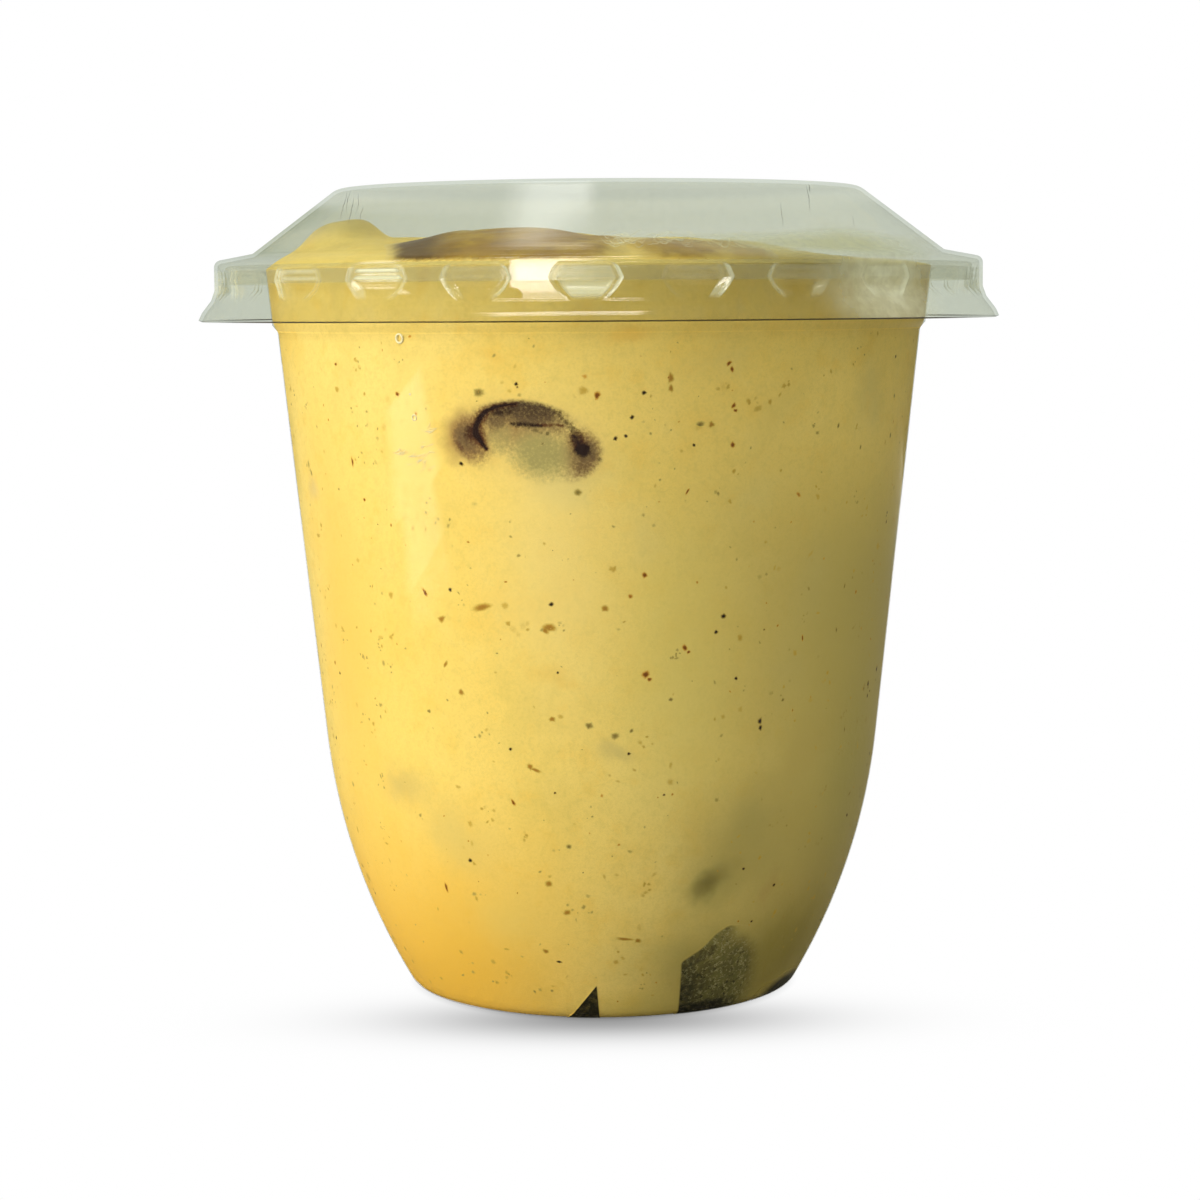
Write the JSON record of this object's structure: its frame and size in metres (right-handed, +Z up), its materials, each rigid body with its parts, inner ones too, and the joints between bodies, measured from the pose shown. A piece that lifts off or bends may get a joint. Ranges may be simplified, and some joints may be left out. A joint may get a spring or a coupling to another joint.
{
  "type": "filled dessert cup",
  "caption": "Clear round-bottomed dessert cup with a low clear dome lid, filled with smooth speckled yellow frozen dessert, fruit and dark jelly.",
  "frame": {"origin": "centre of the cup's flat underside", "axes": "+Z up along the cup's axis, -Y towards the front, where the fruit and the jelly show at the wall"},
  "size_m": [0.104, 0.104, 0.1045],
  "materials": {
    "cup_plastic": "clear glossy thin plastic",
    "lid_plastic": "clear glossy thin plastic, faintly grey",
    "frozen_dessert": "smooth creamy surface with fine dark and orange specks",
    "dark_fruit": "moist dark purple-brown skin with grey-green flesh",
    "dark_jelly": "moist dark grey-green jelly"
  },
  "bodies": {
    "root": {"cup": "cup_plastic", "lid": "lid_plastic", "filling": "frozen_dessert", "fruit_half": "dark_fruit", "jelly_block": "dark_jelly", "jelly_side": "dark_jelly", "jelly_wedge": "dark_jelly"}
  },
  "joints": []
}
